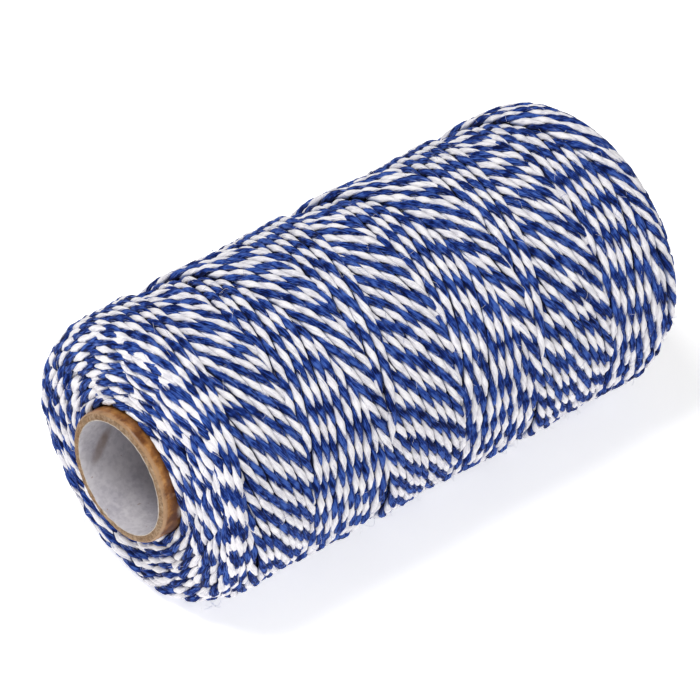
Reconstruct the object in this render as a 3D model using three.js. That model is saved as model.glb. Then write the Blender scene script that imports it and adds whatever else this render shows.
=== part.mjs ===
// A roll of two-ply cotton twine, cross-wound on a cardboard tube and lying on its side.
// Millimetres, +Z up. The tube's axis runs along X and its near mouth faces -X.
// The origin is on the surface that the roll rests on, under the middle of the tube.

import * as THREE from 'three';

// Twine and winding
const TWINE_WIDTH = 1.86;
const WINDING_RADIUS = 28.0;
const WINDING_LENGTH = 110.0;
const WINDING_SIDES = 72;
const BODY_COLUMNS = 44;

// Rounded shoulders, each a superellipse from the body down to the crest of the end face
const NEAR_SHOULDER = { depth: 6.6, crestRadius: 15.8, fullness: 3.36 };
const FAR_SHOULDER = { depth: 9.6, crestRadius: 15.0, fullness: 2.24 };
const SHOULDER_ROWS = 9;
const END_DIMPLE = 1.7;

// Crossing of the turns: the newest turns stand proud, and the oldest that show lie lower
const HELIX_ADVANCE = 35.2;
const NEWEST_FALLING_TURN = -1.17;
const NEWEST_RISING_TURN = -35.67;
const CROSSING_RELIEF = 0.9;
const STEP_WIDTH = 1.2 * TWINE_WIDTH;

// Flat spot that the roll rests on, where the turns are pressed level
const FLAT_DEPTH = 0.4;
const PRESSED_ANGLE = { full: 12, none: 30 };

// Cardboard tube
const TUBE_OUTER_RADIUS = 12.6;
const TUBE_WALL = 1.65;
const TUBE_PROTRUSION = 2.7;
const TUBE_EDGE_ROUND = 0.3;
const TUBE_SIDES = 48;
const TUBE_TO_WINDING_GAP = 0.32;

// Sizes that follow
const AXIS_HEIGHT = WINDING_RADIUS - FLAT_DEPTH;
const BORE_RADIUS = TUBE_OUTER_RADIUS + TUBE_TO_WINDING_GAP;
const TUBE_LENGTH = WINDING_LENGTH + 2 * TUBE_PROTRUSION;

// Height of a saw-tooth that climbs from 0 to 1 over one advance and falls back over a short step
function age(distance) {
  const turns = distance / HELIX_ADVANCE;
  const part = turns - Math.floor(turns);
  const step = STEP_WIDTH / HELIX_ADVANCE;
  return part < 1 - step ? part : ((1 - part) / step) * (1 - step);
}

// How far the surface lies below the newest turns, at a place along the axis and an angle around it
function crossingDrop(x, angle) {
  const wound = (HELIX_ADVANCE * angle) / (2 * Math.PI);
  const fallingAge = age(NEWEST_FALLING_TURN - (x + wound));
  const risingAge = age(x - wound - NEWEST_RISING_TURN);
  return CROSSING_RELIEF * Math.min(fallingAge, risingAge);
}

// 0 where the roll's weight presses the turns level against the surface, 1 away from it
function freeOfSurface(angle) {
  const fromBottom = Math.abs(THREE.MathUtils.radToDeg(angle) - 270);
  return THREE.MathUtils.smoothstep(fromBottom, PRESSED_ANGLE.full, PRESSED_ANGLE.none);
}

// Profile points { x, r, relief } of one end, from the bore out to the body; side is -1 near, 1 far
function endProfile(shoulder, side) {
  const crestX = (side * WINDING_LENGTH) / 2;
  const points = [];
  for (const share of [0, 0.5]) {
    const r = THREE.MathUtils.lerp(BORE_RADIUS, shoulder.crestRadius, share);
    const x = crestX - side * END_DIMPLE * (1 - share) * (1 - share);
    points.push({ x, r, relief: 0 });
  }
  for (let row = 0; row <= SHOULDER_ROWS; row += 1) {
    const turn = (row / SHOULDER_ROWS) * (Math.PI / 2);
    const inward = 1 - Math.cos(turn) ** (2 / shoulder.fullness);
    const outward = Math.sin(turn) ** (2 / shoulder.fullness);
    const r = THREE.MathUtils.lerp(shoulder.crestRadius, WINDING_RADIUS, outward);
    points.push({ x: crestX - side * shoulder.depth * inward, r, relief: outward * outward });
  }
  return points;
}

function windingProfile() {
  const near = endProfile(NEAR_SHOULDER, -1);
  const far = endProfile(FAR_SHOULDER, 1);
  const bodyStart = near[near.length - 1].x;
  const bodyEnd = far[far.length - 1].x;
  const body = [];
  for (let column = 1; column < BODY_COLUMNS; column += 1) {
    const x = THREE.MathUtils.lerp(bodyStart, bodyEnd, column / BODY_COLUMNS);
    body.push({ x, r: WINDING_RADIUS, relief: 1 });
  }
  return [...near, ...body, ...far.reverse()];
}

function tubeProfile() {
  const half = TUBE_LENGTH / 2;
  const inner = TUBE_OUTER_RADIUS - TUBE_WALL;
  const outer = TUBE_OUTER_RADIUS;
  const round = TUBE_EDGE_ROUND;
  return [
    { x: -half + round, r: inner },
    { x: -half, r: inner + round },
    { x: -half, r: outer - round },
    { x: -half + round, r: outer },
    { x: half - round, r: outer },
    { x: half, r: outer - round },
    { x: half, r: inner + round },
    { x: half - round, r: inner },
  ];
}

// A closed ring around the tube's axis: the profile runs from the bore's near edge to its far edge,
// the bore closes it, and radiusAt gives each point's distance from the axis
function ringGeometry(profile, sides, radiusAt) {
  const positions = [];
  for (let side = 0; side < sides; side += 1) {
    const angle = ((side + 0.5) / sides) * 2 * Math.PI;
    for (const point of profile) {
      const r = radiusAt(point, angle);
      const z = AXIS_HEIGHT + r * Math.sin(angle);
      positions.push(point.x, r * Math.cos(angle), Math.max(z, 0));
    }
  }
  const indices = [];
  const rows = profile.length;
  for (let side = 0; side < sides; side += 1) {
    const here = side * rows;
    const next = ((side + 1) % sides) * rows;
    for (let row = 0; row < rows; row += 1) {
      const after = (row + 1) % rows;
      indices.push(here + row, next + after, here + after);
      indices.push(here + row, next + row, next + after);
    }
  }
  const geometry = new THREE.BufferGeometry();
  geometry.setAttribute('position', new THREE.Float32BufferAttribute(positions, 3));
  geometry.setIndex(indices);
  geometry.computeVertexNormals();
  return geometry;
}

function winding() {
  const radiusAt = (point, angle) =>
    point.r - point.relief * freeOfSurface(angle) * crossingDrop(point.x, angle);
  const material = new THREE.MeshStandardMaterial({ color: 0x7f8fc4, roughness: 0.95, metalness: 0 });
  const mesh = new THREE.Mesh(ringGeometry(windingProfile(), WINDING_SIDES, radiusAt), material);
  mesh.name = 'winding';
  return mesh;
}

function tube() {
  const material = new THREE.MeshStandardMaterial({ color: 0xb98a55, roughness: 0.8, metalness: 0 });
  const mesh = new THREE.Mesh(ringGeometry(tubeProfile(), TUBE_SIDES, (point) => point.r), material);
  mesh.name = 'tube';
  return mesh;
}

const roll = new THREE.Group();
roll.add(tube(), winding());

export default roll;
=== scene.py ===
import math

import bpy
import numpy as np
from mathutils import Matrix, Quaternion, Vector


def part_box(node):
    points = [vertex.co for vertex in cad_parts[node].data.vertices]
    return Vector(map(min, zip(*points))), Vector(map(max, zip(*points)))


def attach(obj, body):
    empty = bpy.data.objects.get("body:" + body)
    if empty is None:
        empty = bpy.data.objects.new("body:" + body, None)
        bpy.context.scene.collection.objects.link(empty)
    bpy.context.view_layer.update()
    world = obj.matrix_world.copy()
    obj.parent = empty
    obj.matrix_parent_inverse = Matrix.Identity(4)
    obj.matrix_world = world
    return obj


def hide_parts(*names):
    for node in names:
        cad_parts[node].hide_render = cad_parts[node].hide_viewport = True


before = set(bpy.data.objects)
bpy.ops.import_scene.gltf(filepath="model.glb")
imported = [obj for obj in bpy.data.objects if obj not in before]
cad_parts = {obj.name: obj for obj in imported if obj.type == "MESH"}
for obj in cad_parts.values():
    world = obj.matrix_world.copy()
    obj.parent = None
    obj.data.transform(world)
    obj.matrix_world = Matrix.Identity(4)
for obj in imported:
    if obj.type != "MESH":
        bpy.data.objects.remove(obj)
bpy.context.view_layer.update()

# A roll of two-ply cotton twine, cross-wound on a cardboard tube and lying on its side.
# Sizes are in millimetres and become metres as each mesh is made.
MM = 0.001
TAU = 2 * math.pi

# Twine: two plies pressed wider than they are deep, twisted to the left; route points lie a step apart
TWINE_WIDTH = 1.86
LAY = 7.3
TWIST_HAND = -1
PLY_OFFSET = 0.41
PLY_HALF_DEPTH = 0.465
PLY_HALF_WIDTH = 0.745
HALF_TWINE = PLY_OFFSET + PLY_HALF_DEPTH
BLUE_FULLNESS = 1.05
WHITE_FULLNESS = 0.95
FIBRE_LEAN = 0.7
PLY_SIDES = 8
STEP = 0.62

# Thick and thin places, and places where the twist runs tight or slack: lengths along the twine, and sizes
THICK_AND_THIN_LENGTHS = (5.3, 11.0, 29.0)
THICK_AND_THIN_SIZE = 0.034
TWIST_DRIFT = ((19.0, 0.3), (47.0, 0.55), (120.0, 0.9))
WANDER_CYCLES = (1.7, 3.9, 7.3)

# Winding: the shoulders are superellipses, and the near one is a little fuller than the solid's
WINDING_RADIUS = 28.0
WINDING_LENGTH = 110.0
NEAR_SHOULDER = {"side": -1, "proud": 0.8, "depth": 7.0, "crest_radius": 16.4, "fullness": 3.5}
FAR_SHOULDER = {"side": 1, "proud": 0.0, "depth": 9.6, "crest_radius": 15.0, "fullness": 2.24}
DIMPLE_POINTS = 24
SHOULDER_POINTS = 160
END_DIMPLE = 1.1
BORE_RADIUS = 12.92
FLOOR_CLEARANCE = 0.1

# The underside of the near end lies further in than its top
NEAR_SLUMP = {"size": 1.75, "angle": math.radians(265), "spread": 0.35, "starts_at": -30.0, "full_at": -51.0}

# Tube: its height and length are read from the frame; its outer edge is rounded and its lining thin
tube_low, tube_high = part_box("tube")
AXIS_HEIGHT = (tube_low.z + tube_high.z) / 2 / MM
TUBE_LENGTH = (tube_high.x - tube_low.x) / MM
TUBE_RADIUS = 12.6
TUBE_WALL = 1.65
TUBE_SIDES = 180
LINING_THICKNESS = 0.16
LINING_LIP = 0.06
MOUTH_DEPTH = 6.0
EDGE_ROUND = 0.75
EDGE_RECESS = 0.05
EDGE_ROUGHNESS = 0.028

# Crossing pattern: falling turns run towards the near end as the angle grows, rising turns away from it
TURNS_IN_PATTERN = 19
ADVANCE = 35.2
PITCH = ADVANCE / TURNS_IN_PATTERN
NEWEST_FALLING = -1.17
NEWEST_RISING = -35.67
CENTRE_RADIUS = 27.2
HELIX_STRETCH = 1.02

# Depths of the turns: older ones lie lower, each goes under where it is crossed, and all wander a little
RELIEF = 1.4
DIVE = 1.1
CROSSING_EASE = 0.75
HIDDEN_TAIL = 1.35
TAIL_START = 0.3
TAIL_DROP = 0.8
DEPTH_WANDER = 0.06
DEPTH_SPREAD = 0.08
PATH_WANDER = 0.12

# Where each ply lies: how far it shifts from one turn to the next, and by how much that varies
PLY_LAG = {"falling": 0.0, "rising": -2.3}
LAG_SPREAD = 0.7
PLY_SPREAD = 0.8

# Turnings at both ends: places along the outline, and angles before and after the turning
NEAR_TURNING = -54.6
FAR_TURNING = 53.3
TURNING_JITTER = (-1.2, 0.9)
TURNING_ROUND = 0.3
TURN_REACH = (-19.6, 0.55)
DIVE_AFTER_TURNING = 0.04
DIVE_LENGTH = 0.4
FEWEST_POINTS = 4

# Past these places a turn lies on top near its own turning, and sinks and is cut off near its other end
NEAR_UNCOVERED = -49.0
FAR_UNCOVERED = 47.8
SINK_START = -0.6
SINK_LENGTH = 2.6
SINK_END = 3.4

# The turns are kept as six pieces, by place along the roll
ZONES = 6
FIRST_ZONE = -53.62
ZONE_LENGTH = ADVANCE / 2

# Older turnings on the end faces, in rows of links like a braid
ROW_PITCH = 1.8
ROWS_PAST_TURNING = 1.2
ROWS_FROM_BORE = 0.9
FEWEST_LINKS = 5
LINK_SPACING = 8.9
LINK_REACH = (-12.0, 5.0)
LINK_SLOPE = 0.25
LINK_ROUND = 7.0
LINK_SCATTER = 0.16
LINK_RISE = {"starts_at": -10.4, "length": 4.6}
LINK_FALL = {"ends_at": 4.4, "length": 4.2}
LINK_DEPTH = (0.0, 0.3)
LINK_DIVE = 1.3
LINK_WANDER = {"depth": 0.05, "path": 0.1}
LINK_PLACE_SPREAD = 0.12
LINK_TWIST = (0.9, 1.1)

# Rings of twine beside the tube: (distance in from the last row, depth)
TUBE_RINGS = ((-0.3, -0.5), (-0.4, 0.6), (-0.3, 1.8), (1.0, 0.6), (2.0, 0.9))
RING_PLY_SHIFT = 2.3
RING_OVERLAP = 0.1

# Older layers that show in the gaps
UNDER_DEPTH = 2.6
UNDER_MARGIN = 0.8
UNDER_ROWS = 110
UNDER_SIDES = 96

# Stray fibres
FIBRE_COUNT = 900
FIBRE_THICKNESS = 0.045
FIBRE_SIDES = 3
FIBRE_POINTS = 6
FIBRE_ROOT = (0.25, 0.7)
FIBRE_HEADING = 0.55
FIBRE_LENGTH = {"log_mean": 0.5, "log_spread": 0.45, "longest": 4.5}
FIBRE_LIFT = (0.4, 1.3)
FIBRE_BOW = (1.2, 2.9)
FIBRE_CURL = 0.5
FIBRE_CLEARANCE = 0.06
SEED = 7

# Camera, placed so that the picture is framed as the photo is, in the photo's pixels
CAMERA_AZIMUTH = -40.6
CAMERA_ELEVATION = 37.5
CAMERA_DISTANCE = 1264.5
CAMERA_ROLL = 0.24
PHOTO_SIZE = 700
PHOTO_MIDDLE = (367.8, 346.7)
PIXELS_PER_MM = 5.588

# Floor, in metres, and the light of the room
FLOOR_HALF_SIZE = 3.0
FLOOR_GLOW = 0.5
ROOM_LIGHT = 0.32


# The winding's outline: places along it are counted from the roll's middle, along the surface
def end_outline(shoulder):
    """x and radius from the bore to the body, at one end"""
    crest_x = shoulder["side"] * (WINDING_LENGTH / 2 + shoulder["proud"])
    share = np.linspace(0, 1, DIMPLE_POINTS, endpoint=False)
    dimple_r = BORE_RADIUS + (shoulder["crest_radius"] - BORE_RADIUS) * share
    dimple_x = crest_x - shoulder["side"] * END_DIMPLE * (1 - share) ** 2
    turn = np.linspace(0, math.pi / 2, SHOULDER_POINTS)
    inward = 1 - np.cos(turn) ** (2 / shoulder["fullness"])
    outward = np.sin(turn) ** (2 / shoulder["fullness"])
    round_r = shoulder["crest_radius"] + (WINDING_RADIUS - shoulder["crest_radius"]) * outward
    round_x = crest_x - shoulder["side"] * shoulder["depth"] * inward
    return np.concatenate([dimple_x, round_x]), np.concatenate([dimple_r, round_r])


def winding_outline():
    near_x, near_r = end_outline(NEAR_SHOULDER)
    far_x, far_r = end_outline(FAR_SHOULDER)
    x = np.concatenate([near_x, far_x[::-1]])
    r = np.concatenate([near_r, far_r[::-1]])
    way = np.concatenate([[0.0], np.cumsum(np.hypot(np.diff(x), np.diff(r)))])
    body_start = len(near_x) - 1
    way += near_x[-1] - way[body_start]
    return way, x, r


OUTLINE_WAY, OUTLINE_X, OUTLINE_R = winding_outline()


def on_winding(way):
    """x, radius and the outward direction (x, radial) at places along the outline"""
    x = np.interp(way, OUTLINE_WAY, OUTLINE_X)
    r = np.interp(way, OUTLINE_WAY, OUTLINE_R)
    reach = 0.5
    dx = np.interp(way + reach, OUTLINE_WAY, OUTLINE_X) - np.interp(way - reach, OUTLINE_WAY, OUTLINE_X)
    dr = np.interp(way + reach, OUTLINE_WAY, OUTLINE_R) - np.interp(way - reach, OUTLINE_WAY, OUTLINE_R)
    size = np.maximum(np.hypot(dx, dr), 1e-9)
    return x, r, -dr / size, dx / size


def ease(value):
    """0 below 0 and 1 above 1, with a soft start and end between them"""
    value = np.clip(value, 0, 1)
    return value * value * (3 - 2 * value)


def slump(x, angle):
    """How far the underside of the near end lies further in than its top"""
    by_angle = ease(np.cos(angle - NEAR_SLUMP["angle"]) + NEAR_SLUMP["spread"])
    by_place = ease((x - NEAR_SLUMP["starts_at"]) / (NEAR_SLUMP["full_at"] - NEAR_SLUMP["starts_at"]))
    return NEAR_SLUMP["size"] * by_angle * by_place


# Routes of the turns
class Routes:
    """Stretches of twine, each a run of points with its outward direction and place along the twine"""

    def __init__(self, name):
        self.name = name
        self.points = []
        self.outward = []
        self.along = []
        self.fullness = []
        self.edges = []
        self.count = 0

    def add(self, way, angle, depth, along, fullness):
        """Adds a stretch of twine whose outer side lies at a depth under the winding's surface"""
        x, r, out_x, out_r = on_winding(way)
        inset = HALF_TWINE + depth
        radius = r - out_r * inset
        y = radius * np.cos(angle)
        z = np.maximum(AXIS_HEIGHT + radius * np.sin(angle), HALF_TWINE + FLOOR_CLEARANCE)
        x = x - out_x * inset
        self.points.append(np.column_stack([x + slump(x, angle), y, z]))
        self.outward.append(np.column_stack([out_x, out_r * np.cos(angle), out_r * np.sin(angle)]))
        self.along.append(along)
        self.fullness.append(fullness)
        self.link(len(way))

    def add_points(self, points):
        """Adds a stretch that carries nothing but its points"""
        self.points.append(points)
        self.link(len(points))

    def link(self, size):
        first = self.count + np.arange(size - 1)
        self.edges.append(np.column_stack([first, first + 1]))
        self.count += size


def wander(angle, rng, size):
    """A slow, small wave that keeps the turns from looking machined"""
    wave = np.zeros_like(angle)
    for cycles in WANDER_CYCLES:
        wave += np.sin(cycles * angle + rng.uniform(0, TAU)) * size / cycles ** 0.5
    return wave


def fullness_along(along, rng):
    """Thick and thin places in the yarn"""
    full = np.ones_like(along)
    for length in THICK_AND_THIN_LENGTHS:
        full += THICK_AND_THIN_SIZE * np.sin(along * TAU / length + rng.uniform(0, TAU))
    return full


def twist_drift(along, rng):
    """Places where the twist runs tighter or slacker"""
    drift = np.zeros_like(along)
    for length, size in TWIST_DRIFT:
        drift += size * np.sin(along * TAU / length + rng.uniform(0, TAU))
    return drift


def turn_route(falling, number, jitter):
    """Way and angle along one turn, back from its turning over the body, and the angle from the turning"""
    from_turning = np.arange(*TURN_REACH, STEP / CENTRE_RADIUS)
    rounding = ADVANCE / TAU * TURNING_ROUND
    if falling:
        crossing = NEAR_TURNING + jitter - rounding
        turn_angle = TAU * (NEWEST_FALLING - number * PITCH - crossing) / ADVANCE
        sign = 1
    else:
        crossing = FAR_TURNING - jitter + rounding
        turn_angle = TAU * (crossing - (NEWEST_RISING + number * PITCH)) / ADVANCE
        sign = -1
    way = crossing + sign * ADVANCE / TAU * np.sqrt(from_turning ** 2 + TURNING_ROUND ** 2)
    return way, turn_angle + from_turning, from_turning


def turn_crossed(falling, way, angle):
    """Number, counted from the newest, of the other family's turn at places on a turn"""
    wound = ADVANCE / TAU * angle
    if falling:
        return TURNS_IN_PATTERN * np.mod((way - wound - NEWEST_RISING) / ADVANCE, 1)
    return TURNS_IN_PATTERN * np.mod((NEWEST_FALLING - way - wound) / ADVANCE, 1)


def lift_of_turn(other, covered_to, past_own_end):
    """1 where a turn lies on the other family and 0 where it lies under; its hidden tails; where it shows"""
    if covered_to < 0:
        return np.ones_like(other), np.zeros_like(other), np.ones(len(other), bool)
    low = covered_to / 2
    number = low + np.mod(other - low, TURNS_IN_PATTERN)
    turns_past = past_own_end * 2 / PITCH
    comes_up = np.maximum(number - (covered_to + 0.5), turns_past)
    goes_down = np.maximum(TURNS_IN_PATTERN - 0.5 - number, turns_past)
    lift = ease(comes_up / (2 * CROSSING_EASE) + 0.5) * ease(goes_down / (2 * CROSSING_EASE) + 0.5)
    tail = np.maximum(ease(-comes_up - TAIL_START), ease(-goes_down - TAIL_START))
    return lift, tail, (comes_up > -HIDDEN_TAIL) & (goes_down > -HIDDEN_TAIL)


def runs(mask):
    """Start and end of each unbroken run in a mask"""
    edges = np.flatnonzero(np.diff(np.concatenate([[0], mask.astype(int), [0]])))
    return list(zip(edges[::2], edges[1::2]))


def body_turns(zone_for, rng):
    """Both families of crossing turns, each in the stretches that show"""
    for family in ("falling", "rising"):
        falling = family == "falling"
        shifts = rng.normal(PLY_LAG[family], LAG_SPREAD, TURNS_IN_PATTERN)
        phases = np.cumsum(shifts) + rng.normal(0, PLY_SPREAD, TURNS_IN_PATTERN)
        for number in range(TURNS_IN_PATTERN):
            jitter = rng.uniform(*TURNING_JITTER)
            way, angle, from_turning = turn_route(falling, number, jitter)
            past_near = NEAR_UNCOVERED - way
            past_far = way - FAR_UNCOVERED
            past_own_end, past_other_end = (past_near, past_far) if falling else (past_far, past_near)
            covered_to = number if falling else number - 1
            lift, tail, shows = lift_of_turn(turn_crossed(falling, way, angle), covered_to, past_own_end)
            lift = lift * (1 - ease((from_turning - DIVE_AFTER_TURNING) / DIVE_LENGTH))
            shows = shows & (past_other_end < SINK_END)
            sunk = ease((past_other_end - SINK_START) / SINK_LENGTH)
            age = number / TURNS_IN_PATTERN
            depth = RELIEF * age + DIVE * (1 - lift) + TAIL_DROP * tail
            depth = depth + sunk * (RELIEF * (1 - age) + DIVE)
            depth = depth + wander(angle, rng, DEPTH_WANDER) + rng.normal(0, DEPTH_SPREAD)
            way = way + wander(angle, rng, PATH_WANDER)
            lengthwise = angle * CENTRE_RADIUS * HELIX_STRETCH
            along = lengthwise + phases[number] + twist_drift(lengthwise, rng)
            full = fullness_along(along, rng)
            for start, end in runs(shows):
                if end - start < FEWEST_POINTS:
                    continue
                part = slice(start, end)
                zone = zone_for(float(way[part].mean()))
                zone.add(way[part], angle[part], depth[part], along[part], full[part])


def link_row(routes, side, row_way, rng):
    """One row of links: each comes out from under the last one and goes under the next"""
    radius = float(on_winding(np.array([row_way]))[1][0]) - TWINE_WIDTH / 4
    links = max(FEWEST_LINKS, int(round(TAU * radius / LINK_SPACING)))
    start = rng.uniform(0, TAU)
    for link in range(links):
        apex = start + (link + rng.uniform(-LINK_SCATTER, LINK_SCATTER)) * TAU / links
        reach = np.arange(*LINK_REACH, STEP)
        angle = apex + reach / radius
        aside = LINK_SLOPE * (np.sqrt(reach ** 2 + LINK_ROUND ** 2) - LINK_ROUND)
        rise = ease((reach - LINK_RISE["starts_at"]) / LINK_RISE["length"])
        lift = rise * ease((LINK_FALL["ends_at"] - reach) / LINK_FALL["length"])
        depth = rng.uniform(*LINK_DEPTH) + LINK_DIVE * (1 - lift) + wander(angle, rng, LINK_WANDER["depth"])
        way = row_way - side * aside + rng.normal(0, LINK_PLACE_SPREAD)
        way = way + wander(angle, rng, LINK_WANDER["path"])
        along = reach * rng.uniform(*LINK_TWIST) + rng.uniform(0, LAY)
        routes.add(way, angle, depth, along, fullness_along(along, rng))


def end_turns(routes, side, first_way, last_way, rng):
    """Older turnings on an end face, and rings of twine beside the tube"""
    rows = int(round(abs(last_way - first_way) / ROW_PITCH))
    for row in range(rows + 1):
        link_row(routes, side, first_way + (last_way - first_way) * row / rows, rng)
    angle = np.arange(0, TAU + RING_OVERLAP, STEP / BORE_RADIUS)
    for inward, depth in TUBE_RINGS:
        way = np.full_like(angle, last_way - side * inward)
        along = angle * (BORE_RADIUS + 1) + RING_PLY_SHIFT * depth
        routes.add(way, angle, np.full_like(angle, depth), along, fullness_along(along, rng))


# Trees that grow the twine and the stray fibres along their routes
class Tree:
    """A tree of nodes with named inputs, and short calls for its usual nodes"""

    def __init__(self, name, inputs):
        self.tree = bpy.data.node_groups.new(name, "GeometryNodeTree")
        for label, kind, value in inputs:
            socket = self.tree.interface.new_socket(name=label, in_out="INPUT", socket_type=kind)
            if value is not None:
                socket.default_value = value
        self.tree.interface.new_socket(name="Grown", in_out="OUTPUT", socket_type="NodeSocketGeometry")
        self.given = self.tree.nodes.new("NodeGroupInput").outputs

    def node(self, kind, inputs, out=0, **settings):
        """Adds a node, with values or links for its inputs, and returns one of its outputs"""
        node = self.tree.nodes.new(kind)
        for name, value in settings.items():
            setattr(node, name, value)
        for name, value in inputs.items():
            if isinstance(value, bpy.types.NodeSocket):
                self.tree.links.new(value, node.inputs[name])
            else:
                node.inputs[name].default_value = value
        return node.outputs[out]

    def attribute(self, name, kind="FLOAT"):
        return self.node("GeometryNodeInputNamedAttribute", {"Name": name}, "Attribute", data_type=kind)

    def maths(self, operation, first, second):
        return self.node("ShaderNodeMath", {0: first, 1: second}, operation=operation)

    def stored(self, geometry, name, value, kind="FLOAT", domain="POINT"):
        inputs = {"Geometry": geometry, "Name": name, "Value": value}
        return self.node("GeometryNodeStoreNamedAttribute", inputs, data_type=kind, domain=domain)

    def circle(self, sides, radius):
        inputs = {"Resolution": sides, "Radius": radius}
        return self.node("GeometryNodeCurvePrimitiveCircle", inputs, "Curve", mode="RADIUS")

    def swept(self, route, section, scale):
        inputs = {"Curve": route, "Profile Curve": section, "Scale": scale, "Fill Caps": True}
        return self.node("GeometryNodeCurveToMesh", inputs)

    def coloured(self, geometry, material):
        """Makes instances real and gives the result its material"""
        real = self.node("GeometryNodeRealizeInstances", {"Geometry": geometry})
        return self.node("GeometryNodeSetMaterial", {"Geometry": real, "Material": material})

    def joined(self, pieces):
        node = self.tree.nodes.new("GeometryNodeJoinGeometry")
        for piece in pieces:
            self.tree.links.new(piece, node.inputs[0])
        return node.outputs[0]

    def ended_in(self, geometry):
        self.tree.links.new(geometry, self.tree.nodes.new("NodeGroupOutput").inputs[0])
        return self.tree


def swept_ply(tree, route, lays, position, ply, hand):
    """One ply: its section is a pressed circle on its own side of the twine; its UV map follows the twist"""
    given = tree.given
    section = tree.stored(tree.circle(given["Ply sides"], 1.0), "around",
                          tree.node("GeometryNodeSplineParameter", {}, "Factor"))
    half_depth = tree.maths("MULTIPLY", given["Ply half depth"], -hand)
    half_width = tree.maths("MULTIPLY", given["Ply half width"], -hand)
    size = tree.node("ShaderNodeCombineXYZ", {"X": half_depth, "Y": half_width, "Z": 1.0})
    shift = tree.node("ShaderNodeCombineXYZ", {"X": tree.maths("MULTIPLY", given["Ply offset"], hand)})
    section = tree.node("GeometryNodeTransform", {"Geometry": section, "Translation": shift, "Scale": size})
    full = tree.maths("MULTIPLY", tree.attribute("fullness"), given[ply + " fullness"])
    swept = tree.swept(route, section, full)
    pair = tree.node("ShaderNodeCombineXYZ", {"X": lays, "Y": tree.attribute("around")})
    unwrapped = tree.stored(swept, "UVMap", pair, "FLOAT2", "CORNER")
    centre = tree.attribute("centre", "FLOAT_VECTOR")
    from_centre = tree.node("ShaderNodeVectorMath", {0: position, 1: centre}, operation="SUBTRACT")
    outward = tree.attribute("outward", "FLOAT_VECTOR")
    both = {0: from_centre, 1: outward}
    height = tree.node("ShaderNodeVectorMath", both, "Value", operation="DOT_PRODUCT")
    openness = tree.maths("DIVIDE", height, given["Ply half width"])
    return tree.coloured(tree.stored(unwrapped, "openness", openness), given[ply])


def twine_tree():
    """Sweeps two twisted plies along the routes; openness says how far out each place of a ply lies"""
    tree = Tree("twisted twine", [
        ("Routes", "NodeSocketGeometry", None),
        ("Lay", "NodeSocketFloat", LAY * MM),
        ("Ply offset", "NodeSocketFloat", PLY_OFFSET * MM),
        ("Ply half depth", "NodeSocketFloat", PLY_HALF_DEPTH * MM),
        ("Ply half width", "NodeSocketFloat", PLY_HALF_WIDTH * MM),
        ("Ply sides", "NodeSocketInt", PLY_SIDES),
        ("First ply fullness", "NodeSocketFloat", BLUE_FULLNESS),
        ("Second ply fullness", "NodeSocketFloat", WHITE_FULLNESS),
        ("First ply", "NodeSocketMaterial", None),
        ("Second ply", "NodeSocketMaterial", None),
    ])
    lays = tree.maths("DIVIDE", tree.attribute("along"), tree.given["Lay"])
    tilt = tree.maths("MULTIPLY", lays, TWIST_HAND * TAU)
    position = tree.node("GeometryNodeInputPosition", {})
    centred = tree.stored(tree.given["Routes"], "centre", position, "FLOAT_VECTOR")
    route = tree.node("GeometryNodeMeshToCurve", {"Mesh": centred})
    outward = tree.attribute("outward", "FLOAT_VECTOR")
    route = tree.node("GeometryNodeSetCurveNormal", {"Curve": route, "Normal": outward}, mode="FREE")
    route = tree.node("GeometryNodeSetCurveTilt", {"Curve": route, "Tilt": tilt})
    hands = (("First ply", -1), ("Second ply", 1))
    return tree.ended_in(tree.joined([swept_ply(tree, route, lays, position, *hand) for hand in hands]))


def fibre_tree():
    """Sweeps a thin three-sided section along the routes"""
    tree = Tree("stray fibres", [
        ("Routes", "NodeSocketGeometry", None),
        ("Thickness", "NodeSocketFloat", FIBRE_THICKNESS * MM),
        ("Sides", "NodeSocketInt", FIBRE_SIDES),
        ("Material", "NodeSocketMaterial", None),
    ])
    route = tree.node("GeometryNodeMeshToCurve", {"Mesh": tree.given["Routes"]})
    swept = tree.swept(route, tree.circle(tree.given["Sides"], 0.5), tree.given["Thickness"])
    return tree.ended_in(tree.coloured(swept, tree.given["Material"]))


def route_object(routes):
    """The routes as a mesh of edges that carries each point's outward direction and place along the twine"""
    points = np.concatenate(routes.points) * MM
    edges = np.concatenate(routes.edges)
    mesh = bpy.data.meshes.new(routes.name)
    mesh.vertices.add(len(points))
    mesh.vertices.foreach_set("co", points.astype(np.float32).ravel())
    mesh.edges.add(len(edges))
    mesh.edges.foreach_set("vertices", edges.astype(np.int32).ravel())
    if routes.outward:
        outward = mesh.attributes.new("outward", "FLOAT_VECTOR", "POINT")
        outward.data.foreach_set("vector", np.concatenate(routes.outward).astype(np.float32).ravel())
        along = mesh.attributes.new("along", "FLOAT", "POINT")
        along.data.foreach_set("value", (np.concatenate(routes.along) * MM).astype(np.float32))
        fullness = mesh.attributes.new("fullness", "FLOAT", "POINT")
        fullness.data.foreach_set("value", np.concatenate(routes.fullness).astype(np.float32))
    mesh.update()
    piece = bpy.data.objects.new(routes.name, mesh)
    bpy.context.scene.collection.objects.link(piece)
    return piece


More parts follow.
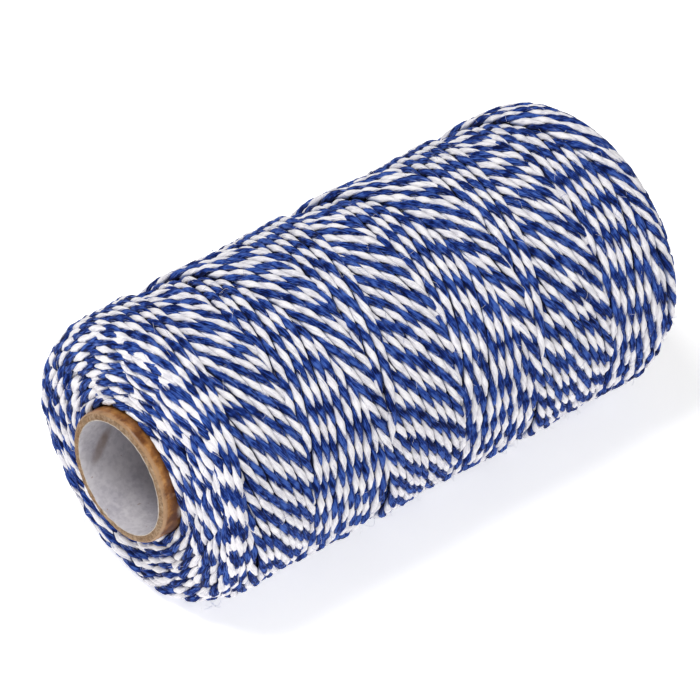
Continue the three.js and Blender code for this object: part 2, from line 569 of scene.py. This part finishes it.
def grown(piece, tree, values):
    """Runs a tree on a piece and keeps its result as the piece's own plain mesh"""
    modifier = piece.modifiers.new("grow", "NODES")
    modifier.node_group = tree
    ids = {item.name: item.identifier for item in tree.interface.items_tree if item.in_out == "INPUT"}
    for name, value in values.items():
        modifier[ids[name]] = value
    bpy.context.view_layer.update()
    depsgraph = bpy.context.evaluated_depsgraph_get()
    mesh = bpy.data.meshes.new_from_object(piece.evaluated_get(depsgraph), depsgraph=depsgraph)
    piece.modifiers.clear()
    old = piece.data
    piece.data = mesh
    bpy.data.meshes.remove(old)
    mesh.name = piece.name
    for name in ("centre", "outward", "along", "fullness", "around"):
        spare = mesh.attributes.get(name)
        if spare:
            mesh.attributes.remove(spare)
    mesh.polygons.foreach_set("use_smooth", np.ones(len(mesh.polygons), bool))
    return piece


# Materials
def srgb(red, green, blue):
    """A colour given as 0 to 255 screen values, in the shader's own linear values"""
    def linear(value):
        value /= 255
        return value / 12.92 if value <= 0.04045 else ((value + 0.055) / 1.055) ** 2.4
    return (linear(red), linear(green), linear(blue), 1.0)


class Finish:
    """A node material, with short calls for its usual nodes"""

    def __init__(self, name):
        self.material = bpy.data.materials.new(name)
        self.material.use_nodes = True
        self.nodes = self.material.node_tree.nodes
        self.links = self.material.node_tree.links
        self.nodes.clear()
        self.shader = self.nodes.new("ShaderNodeBsdfPrincipled")
        output = self.nodes.new("ShaderNodeOutputMaterial")
        self.links.new(self.shader.outputs[0], output.inputs["Surface"])

    def set(self, **values):
        for name, value in values.items():
            label = name.replace("_", " ").title().replace("Ior", "IOR")
            self.shader.inputs[label].default_value = value

    def give(self, node, inputs):
        for socket, value in inputs:
            if isinstance(value, (float, int, tuple)):
                socket.default_value = value
            else:
                self.links.new(value, socket)

    def place(self, kind):
        return self.nodes.new("ShaderNodeTexCoord").outputs[kind]

    def stretched(self, vector, scale):
        node = self.nodes.new("ShaderNodeMapping")
        node.inputs["Scale"].default_value = scale
        self.links.new(vector, node.inputs["Vector"])
        return node.outputs[0]

    def noise(self, vector, scale=1.0, detail=2.0, roughness=0.5):
        node = self.nodes.new("ShaderNodeTexNoise")
        node.inputs["Scale"].default_value = scale
        node.inputs["Detail"].default_value = detail
        node.inputs["Roughness"].default_value = roughness
        self.links.new(vector, node.inputs["Vector"])
        return node.outputs["Fac"]

    def attribute(self, name):
        node = self.nodes.new("ShaderNodeAttribute")
        node.attribute_name = name
        return node.outputs["Fac"]

    def between(self, value, low, high):
        """0 at the low value, 1 at the high value, with a soft start and end"""
        node = self.nodes.new("ShaderNodeMapRange")
        node.interpolation_type = "SMOOTHSTEP"
        node.inputs["From Min"].default_value = low
        node.inputs["From Max"].default_value = high
        self.links.new(value, node.inputs["Value"])
        return node.outputs["Result"]

    def maths(self, operation, *values):
        node = self.nodes.new("ShaderNodeMath")
        node.operation = operation
        self.give(node, zip(node.inputs, values))
        return node.outputs[0]

    def ramp(self, value, stops):
        node = self.nodes.new("ShaderNodeValToRGB")
        elements = node.color_ramp.elements
        while len(elements) < len(stops):
            elements.new(0.5)
        for element, (position, colour) in zip(elements, stops):
            element.position = position
            element.color = colour
        self.links.new(value, node.inputs["Fac"])
        return node.outputs["Color"]

    def mix(self, share, first, second, blend="MIX"):
        node = self.nodes.new("ShaderNodeMix")
        node.data_type = "RGBA"
        node.blend_type = blend
        self.give(node, ((node.inputs[0], share), (node.inputs[6], first), (node.inputs[7], second)))
        return node.outputs[2]

    def bump(self, height, strength, distance):
        node = self.nodes.new("ShaderNodeBump")
        node.inputs["Strength"].default_value = strength
        node.inputs["Distance"].default_value = distance * MM
        self.links.new(height, node.inputs["Height"])
        self.links.new(node.outputs[0], self.shader.inputs["Normal"])

    def colour(self, value):
        self.links.new(value, self.shader.inputs["Base Color"])

    def patch(self, centre, direction, half_sizes):
        """1 in the middle of a long soft patch, 0 outside it"""
        node = self.nodes.new("ShaderNodeMapping")
        node.vector_type = "TEXTURE"
        node.inputs["Location"].default_value = Vector(centre) * MM
        node.inputs["Rotation"].default_value = Vector(direction).to_track_quat("X", "Z").to_euler()
        node.inputs["Scale"].default_value = Vector(half_sizes) * MM
        self.links.new(self.place("Object"), node.inputs["Vector"])
        length = self.nodes.new("ShaderNodeVectorMath")
        length.operation = "LENGTH"
        self.links.new(node.outputs[0], length.inputs[0])
        return self.between(length.outputs["Value"], 1.15, 0.35)


UNCHANGED = (1.0, 1.0, 1.0, 1.0)

# Cotton: tones of each ply, how the other ply's fibres look on it, and the painted shade that tints it in
# the gaps
BLUE = (srgb(1, 11, 54), srgb(17, 46, 124), srgb(66, 98, 174))
WHITE = (srgb(212, 210, 217), srgb(237, 234, 238), srgb(246, 244, 245))
STRAY_ON_BLUE = srgb(150, 160, 196)
STRAY_ON_WHITE = srgb(84, 104, 166)
BLUE_GAP_PAINTED_SHADE = (0.26, 0.3, 0.42, 1.0)
WHITE_GAP_PAINTED_SHADE = (0.38, 0.44, 0.62, 1.0)
GAP_SHADE = (-0.35, 0.3)
THREAD_STOPS = (0.44, 0.5, 0.56)
FRINGE = (0.775, 0.845)
FRINGE_SHARE = 0.7


def cotton(name, tones, other_ply, painted_gap_shade):
    """Twisted cotton yarn: the fibres lie along the twine, and a few of them stray over the other ply"""
    finish = Finish(name)
    parts = finish.nodes.new("ShaderNodeSeparateXYZ")
    finish.links.new(finish.place("UV"), parts.inputs[0])
    along = parts.outputs["X"]
    around = parts.outputs["Y"]
    leaning = finish.maths("SUBTRACT", around, finish.maths("MULTIPLY", along, FIBRE_LEAN))
    pair = finish.nodes.new("ShaderNodeCombineXYZ")
    finish.links.new(along, pair.inputs["X"])
    finish.links.new(leaning, pair.inputs["Y"])
    streaks = finish.noise(finish.stretched(pair.outputs[0], (2.6, 7.0, 1.0)), detail=3.0, roughness=0.6)
    clouds = finish.noise(finish.place("Object"), scale=520.0, detail=2.0)
    fibres = finish.noise(finish.stretched(pair.outputs[0], (4.0, 26.0, 1.0)), detail=3.0, roughness=0.65)
    strays = finish.noise(finish.stretched(pair.outputs[0], (5.0, 20.0, 1.0)), detail=2.0)
    tone = finish.maths("MULTIPLY_ADD", clouds, 0.25, finish.maths("MULTIPLY", fibres, 0.4))
    tone = finish.maths("MULTIPLY_ADD", streaks, 0.35, tone)
    thread = finish.ramp(tone, tuple(zip(THREAD_STOPS, tones)))
    from_face = finish.maths("ABSOLUTE", finish.maths("SUBTRACT", around, 0.5))
    fringe = finish.between(finish.maths("MULTIPLY_ADD", from_face, 0.7, strays), *FRINGE)
    thread = finish.mix(finish.maths("MULTIPLY", fringe, FRINGE_SHARE), thread, other_ply)
    # Painted shade: each ply is darkened by its gap tint on the side that faces down into the gaps between
    # turns
    open_side = finish.between(finish.attribute("openness"), *GAP_SHADE)
    shade = finish.mix(open_side, painted_gap_shade, UNCHANGED)
    finish.colour(finish.mix(1.0, thread, shade, "MULTIPLY"))
    finish.bump(fibres, 0.6, 0.12)
    finish.set(roughness=0.9, sheen_weight=0.04, sheen_roughness=0.5, specular_ior_level=0.12)
    return finish.material


def blue_cotton():
    return cotton("blue cotton", BLUE, STRAY_ON_BLUE, BLUE_GAP_PAINTED_SHADE)


def white_cotton():
    return cotton("white cotton", WHITE, STRAY_ON_WHITE, WHITE_GAP_PAINTED_SHADE)


def stray_cotton(name, dark, light):
    """Single hairs, darker and lighter by their place"""
    finish = Finish(name)
    along = finish.noise(finish.place("Object"), scale=700.0)
    finish.colour(finish.ramp(along, ((0.35, dark), (0.65, light))))
    finish.set(roughness=0.9, specular_ior_level=0.2)
    return finish.material


def shaded_cotton():
    """What shows in the gaps between turns: older twine, deep in shade, given dark colours as painted shade
    """
    finish = Finish("shaded cotton")
    patches = finish.noise(finish.stretched(finish.place("Object"), (260.0, 420.0, 420.0)), detail=1.0)
    finish.colour(finish.ramp(patches, ((0.48, srgb(14, 28, 78)), (0.58, srgb(96, 96, 118)))))
    finish.bump(patches, 0.6, 0.3)
    finish.set(roughness=0.95)
    return finish.material


def kraft_outside():
    """Brown outer paper, slightly glossy: darker beside the twine as painted shade, worn at the rim, with a
    smear of glue
    """
    finish = Finish("kraft paper")
    place = finish.place("Object")
    clouds = finish.noise(place, scale=330.0, detail=4.0, roughness=0.6)
    grain = finish.noise(place, scale=1500.0, detail=2.0)
    browns = ((0.4, srgb(104, 60, 22)), (0.5, srgb(146, 94, 42)), (0.6, srgb(184, 130, 68)))
    brown = finish.ramp(clouds, browns)
    flecks = finish.ramp(grain, ((0.3, srgb(120, 74, 42)), (0.38, UNCHANGED)))
    brown = finish.mix(0.5, brown, flecks, "MULTIPLY")
    parts = finish.nodes.new("ShaderNodeSeparateXYZ")
    finish.links.new(place, parts.inputs[0])
    from_middle = finish.maths("ABSOLUTE", parts.outputs["X"])
    half = TUBE_LENGTH / 2 * MM
    # Painted shade: the paper is mixed towards dark brown where it goes in under the twine
    shade_by_twine = finish.between(from_middle, half - 0.9 * MM, half - 3.0 * MM)
    brown = finish.mix(finish.maths("MULTIPLY", shade_by_twine, 0.7), brown, srgb(72, 34, 12))
    ragged_middle = finish.maths("MULTIPLY_ADD", clouds, 2.2 * MM, from_middle)
    worn = finish.between(ragged_middle, half - 0.1 * MM, half + 0.75 * MM)
    brown = finish.mix(finish.maths("MULTIPLY", worn, 0.8), brown, srgb(164, 130, 96))
    smear = finish.patch((-53.6, -12.3, AXIS_HEIGHT - 1.3), (0.0, 0.25, 1.0), (3.6, 1.2, 1.0))
    smear = finish.maths("MULTIPLY", smear, finish.between(clouds, 0.3, 0.55))
    finish.colour(finish.mix(smear, brown, srgb(190, 182, 178)))
    finish.bump(grain, 0.25, 0.08)
    finish.set(roughness=0.42, specular_ior_level=0.45)
    return finish.material


def board_edge():
    """Cut edge of the board: pale, fibrous and layered"""
    finish = Finish("cut board")
    place = finish.place("Object")
    fibres = finish.noise(place, scale=1300.0, detail=4.0, roughness=0.7)
    clouds = finish.noise(place, scale=330.0, detail=2.0)
    pales = ((0.36, srgb(106, 84, 62)), (0.5, srgb(148, 122, 96)), (0.62, srgb(182, 156, 128)))
    pale = finish.ramp(fibres, pales)
    browner = finish.ramp(clouds, ((0.42, srgb(132, 98, 68)), (0.58, srgb(156, 132, 108))))
    finish.colour(finish.mix(0.4, pale, browner))
    finish.bump(fibres, 0.8, 0.16)
    finish.set(roughness=0.92, specular_ior_level=0.2)
    return finish.material


def lining_edge():
    """Torn edge of the lining"""
    finish = Finish("lining edge")
    fibres = finish.noise(finish.place("Object"), scale=1100.0, detail=3.0)
    finish.colour(finish.ramp(fibres, ((0.35, srgb(164, 152, 140)), (0.6, srgb(200, 190, 180)))))
    finish.bump(fibres, 0.6, 0.1)
    finish.set(roughness=0.9)
    return finish.material


def grey_lining():
    """Grey paper inside the tube, with a brown smudge and a few flecks"""
    finish = Finish("grey lining")
    place = finish.place("Object")
    clouds = finish.noise(place, scale=160.0, detail=3.0)
    grain = finish.noise(place, scale=1000.0, detail=3.0, roughness=0.6)
    flecks = finish.noise(place, scale=1500.0, detail=1.0)
    grey = finish.ramp(clouds, ((0.4, srgb(166, 162, 170)), (0.6, srgb(190, 186, 190))))
    grained = finish.ramp(grain, ((0.38, srgb(156, 152, 160)), (0.58, srgb(200, 196, 200))))
    grey = finish.mix(0.35, grey, grained)
    grey = finish.mix(finish.between(flecks, 0.74, 0.82), grey, srgb(140, 112, 96))
    smudge = finish.patch((-52.7, 10.7, AXIS_HEIGHT - 1.4), (-4.6, -0.9, -5.6), (4.3, 1.0, 1.6))
    smudge = finish.maths("MULTIPLY", smudge, finish.between(clouds, 0.25, 0.5))
    finish.colour(finish.mix(finish.maths("MULTIPLY", smudge, 0.75), grey, srgb(118, 98, 86)))
    finish.bump(grain, 0.3, 0.06)
    finish.set(roughness=0.75, specular_ior_level=0.3)
    return finish.material


# Tube and the older layers under the turns
def ring_piece(name, outline, sides, materials, finish_of_row=None, ragged=None):
    """A closed ring around the tube's axis from a closed outline of (x, radius)"""
    outline = np.asarray(outline, float)
    angle = np.arange(sides) / sides * TAU
    x = np.repeat(outline[None, :, 0], sides, 0)
    r = np.repeat(outline[None, :, 1], sides, 0)
    if ragged is not None:
        x = x + ragged
    y = r * np.cos(angle)[:, None]
    z = AXIS_HEIGHT + r * np.sin(angle)[:, None]
    points = np.stack([x, y, z], -1).reshape(-1, 3) * MM
    rows = len(outline)
    side = np.arange(sides)[:, None] * rows
    beside = (np.arange(sides)[:, None] + 1) % sides * rows
    row = np.arange(rows)[None, :]
    after = (row + 1) % rows
    faces = np.stack([side + row, beside + row, beside + after, side + after], -1).reshape(-1, 4)
    mesh = bpy.data.meshes.new(name)
    mesh.from_pydata(points.tolist(), [], faces.tolist())
    for material in materials:
        mesh.materials.append(material)
    if finish_of_row is not None:
        mesh.polygons.foreach_set("material_index", np.tile(finish_of_row, sides))
    mesh.polygons.foreach_set("use_smooth", np.ones(len(mesh.polygons), bool))
    mesh.update()
    piece = bpy.data.objects.new(name, mesh)
    bpy.context.scene.collection.objects.link(piece)
    return piece


def under_layer():
    """A smooth ring under the turns, which shows only in the gaps"""
    way = np.linspace(OUTLINE_WAY[0] + UNDER_MARGIN, OUTLINE_WAY[-1] - UNDER_MARGIN, UNDER_ROWS)
    x, r, out_x, out_r = on_winding(way)
    outline = np.column_stack([x - out_x * UNDER_DEPTH, np.maximum(r - out_r * UNDER_DEPTH, BORE_RADIUS)])
    return ring_piece("under_layer", outline, UNDER_SIDES, [shaded_cotton()])


# The tube's finishes, by their place in its list of materials
INSIDE, LINING, EDGE, OUTSIDE = range(4)


def mouth_outline():
    """Places on the cut end, from the inner wall to the outer wall: (depth from the end, radius, finish)"""
    inner = TUBE_RADIUS - TUBE_WALL
    board = inner + LINING_THICKNESS
    places = [
        (MOUTH_DEPTH, inner, INSIDE),
        (1.2, inner, INSIDE),
        (0.1, inner, LINING),
        (0.02, inner + LINING_LIP, LINING),
        (0.1, board, EDGE),
    ]
    for share in np.linspace(0.1, 1.0, 7):
        radius = board + (TUBE_WALL - LINING_THICKNESS - EDGE_ROUND) * share
        places.append((EDGE_RECESS * (2 - share), radius, EDGE))
    for step in range(1, 9):
        turn = step / 8 * math.pi / 2
        depth = EDGE_RECESS + EDGE_ROUND * (1 - math.cos(turn))
        radius = TUBE_RADIUS - EDGE_ROUND * (1 - math.sin(turn))
        places.append((depth, radius, OUTSIDE if step > 2 else EDGE))
    places.append((MOUTH_DEPTH, TUBE_RADIUS, OUTSIDE))
    return places


def tube_piece(rng):
    """The tube, with both cut ends a little ragged"""
    half = TUBE_LENGTH / 2
    places = mouth_outline()
    near = [(-half + depth, radius) for depth, radius, finish in places]
    far = [(half - depth, radius) for depth, radius, finish in reversed(places)]
    finishes = [finish for depth, radius, finish in places]
    far_finishes = [finish for depth, radius, finish in reversed(places)][1:] + [INSIDE]
    rough = rng.normal(0, 1, (TUBE_SIDES, len(places)))
    rough = (rough + np.roll(rough, 1, 0) + np.roll(rough, -1, 0)) * EDGE_ROUGHNESS
    on_edge = np.array([0.0 if depth > 1 else 1.0 for depth, radius, finish in places])
    ragged = np.concatenate([rough * on_edge, -rough[:, ::-1] * on_edge[::-1]], 1)
    materials = [grey_lining(), lining_edge(), board_edge(), kraft_outside()]
    return ring_piece("cardboard_tube", near + far, TUBE_SIDES, materials, finishes + far_finishes, ragged)


# Stray fibres
def fibre_points(x, r, out_x, out_r, angle, rng):
    """One short hair that lifts off the twine in a gentle curve"""
    outward = np.array([out_x, out_r * math.cos(angle), out_r * math.sin(angle)])
    around = np.array([0.0, -math.sin(angle), math.cos(angle)])
    across = np.cross(outward, around)
    start = np.array([x, r * math.cos(angle), AXIS_HEIGHT + r * math.sin(angle)])
    start = start - outward * rng.uniform(*FIBRE_ROOT)
    heading = rng.normal(0, FIBRE_HEADING)
    along = around * math.cos(heading) + across * math.sin(heading)
    beside = np.cross(outward, along)
    length = rng.lognormal(FIBRE_LENGTH["log_mean"], FIBRE_LENGTH["log_spread"])
    length = min(length, FIBRE_LENGTH["longest"]) * rng.choice((-1, 1))
    lift = rng.uniform(*FIBRE_LIFT)
    curl = rng.normal(0, FIBRE_CURL)
    share = np.linspace(0, 1, FIBRE_POINTS)[:, None]
    points = start + along * length * share + beside * curl * share ** 2
    points = points + outward * lift * np.sin(share * rng.uniform(*FIBRE_BOW))
    points[:, 2] = np.maximum(points[:, 2], FIBRE_CLEARANCE)
    return points


def fibre_routes(name, count, rng):
    """Hairs spread evenly over the winding, so fewer lie where it is narrow"""
    routes = Routes(name)
    way = rng.uniform(OUTLINE_WAY[0] + 1, OUTLINE_WAY[-1] - 1, count)
    angle = rng.uniform(0, TAU, count)
    x, r, out_x, out_r = on_winding(way)
    keep = rng.uniform(0, 1, count) < r / WINDING_RADIUS
    for place in np.flatnonzero(keep):
        routes.add_points(fibre_points(x[place], r[place], out_x[place], out_r[place], angle[place], rng))
    return routes


# Stage, light and camera
def stage():
    mesh = bpy.data.meshes.new("floor")
    size = FLOOR_HALF_SIZE
    corners = [(-size, -size, 0), (size, -size, 0), (size, size, 0), (-size, size, 0)]
    mesh.from_pydata(corners, [], [(0, 1, 2, 3)])
    floor = bpy.data.objects.new("floor", mesh)
    bpy.context.scene.collection.objects.link(floor)
    finish = Finish("pale floor")
    finish.set(base_color=(0.92, 0.92, 0.92, 1.0), roughness=0.9)
    finish.set(emission_color=(1.0, 1.0, 1.0, 1.0), emission_strength=FLOOR_GLOW)
    mesh.materials.append(finish.material)


def area_light(name, towards, distance, size, power):
    """A round light, aimed at the middle of the roll; distance and size are in metres"""
    data = bpy.data.lights.new(name, "AREA")
    data.shape = "DISK"
    data.size = size
    data.energy = power
    light = bpy.data.objects.new(name, data)
    middle = Vector((0, 0, AXIS_HEIGHT * MM))
    light.location = middle + Vector(towards).normalized() * distance
    light.rotation_mode = "QUATERNION"
    light.rotation_quaternion = (middle - light.location).to_track_quat("-Z", "Y")
    bpy.context.scene.collection.objects.link(light)


def lights():
    world = bpy.data.worlds.new("studio")
    world.use_nodes = True
    room = world.node_tree.nodes["Background"]
    room.inputs["Color"].default_value = (1.0, 1.0, 1.0, 1.0)
    room.inputs["Strength"].default_value = ROOM_LIGHT
    bpy.context.scene.world = world
    area_light("key", towards=(-0.36, 0.08, 0.9), distance=1.1, size=0.5, power=7.9)
    area_light("front", towards=(-0.44, -0.82, 0.6), distance=1.2, size=0.7, power=3.6)
    bpy.context.scene.view_settings.view_transform = "Standard"


def camera():
    """Camera at the photo's angle, with the roll's middle where the photo has it"""
    azimuth = math.radians(CAMERA_AZIMUTH)
    elevation = math.radians(CAMERA_ELEVATION)
    flat = math.cos(elevation)
    back = Vector((math.sin(azimuth) * flat, -math.cos(azimuth) * flat, math.sin(elevation)))
    right = Vector((math.cos(azimuth), math.sin(azimuth), 0))
    up = back.cross(right)
    aside = (PHOTO_MIDDLE[0] - PHOTO_SIZE / 2) / PIXELS_PER_MM
    above = (PHOTO_SIZE / 2 - PHOTO_MIDDLE[1]) / PIXELS_PER_MM
    aim = Vector((0, 0, AXIS_HEIGHT)) - right * aside - up * above
    data = bpy.data.cameras.new("camera")
    data.sensor_width = 36
    data.lens = data.sensor_width * PIXELS_PER_MM * CAMERA_DISTANCE / PHOTO_SIZE
    data.clip_start = 0.01
    data.clip_end = 20
    view = bpy.data.objects.new("camera", data)
    view.location = (aim + back * CAMERA_DISTANCE) * MM
    view.rotation_mode = "QUATERNION"
    level = (-back).to_track_quat("-Z", "Y")
    view.rotation_quaternion = level @ Quaternion((0, 0, 1), -math.radians(CAMERA_ROLL))
    bpy.context.scene.collection.objects.link(view)
    bpy.context.scene.camera = view


def fit_to_frame(piece, node):
    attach(piece, "root")
    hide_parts(node)


def turns_of_winding(rng):
    """Routes of every turn that shows: six zones of the body, and the two end faces"""
    zones = [Routes(f"turns_{index + 1}") for index in range(ZONES)]

    def zone_for(way):
        return zones[int(np.clip((way - FIRST_ZONE) / ZONE_LENGTH, 0, ZONES - 1))]

    body_turns(zone_for, rng)
    near_end = Routes("near_end_turns")
    far_end = Routes("far_end_turns")
    end_turns(near_end, -1, NEAR_TURNING - ROWS_PAST_TURNING, OUTLINE_WAY[0] + ROWS_FROM_BORE, rng)
    end_turns(far_end, 1, FAR_TURNING + ROWS_PAST_TURNING, OUTLINE_WAY[-1] - ROWS_FROM_BORE, rng)
    return zones + [near_end, far_end]


def main():
    camera()
    stage()
    lights()
    rng = np.random.default_rng(SEED)
    tree = twine_tree()
    plies = {"First ply": blue_cotton(), "Second ply": white_cotton()}
    for routes in turns_of_winding(rng):
        fit_to_frame(grown(route_object(routes), tree, plies), "winding")
    hairs = fibre_tree()
    blue_hair = stray_cotton("blue fibre", srgb(40, 72, 150), srgb(90, 120, 190))
    white_hair = stray_cotton("white fibre", srgb(214, 210, 216), srgb(240, 238, 240))
    for name, material in (("blue_fibres", blue_hair), ("white_fibres", white_hair)):
        routes = fibre_routes(name, FIBRE_COUNT // 2, rng)
        fit_to_frame(grown(route_object(routes), hairs, {"Material": material}), "winding")
    fit_to_frame(under_layer(), "winding")
    fit_to_frame(tube_piece(rng), "tube")


main()
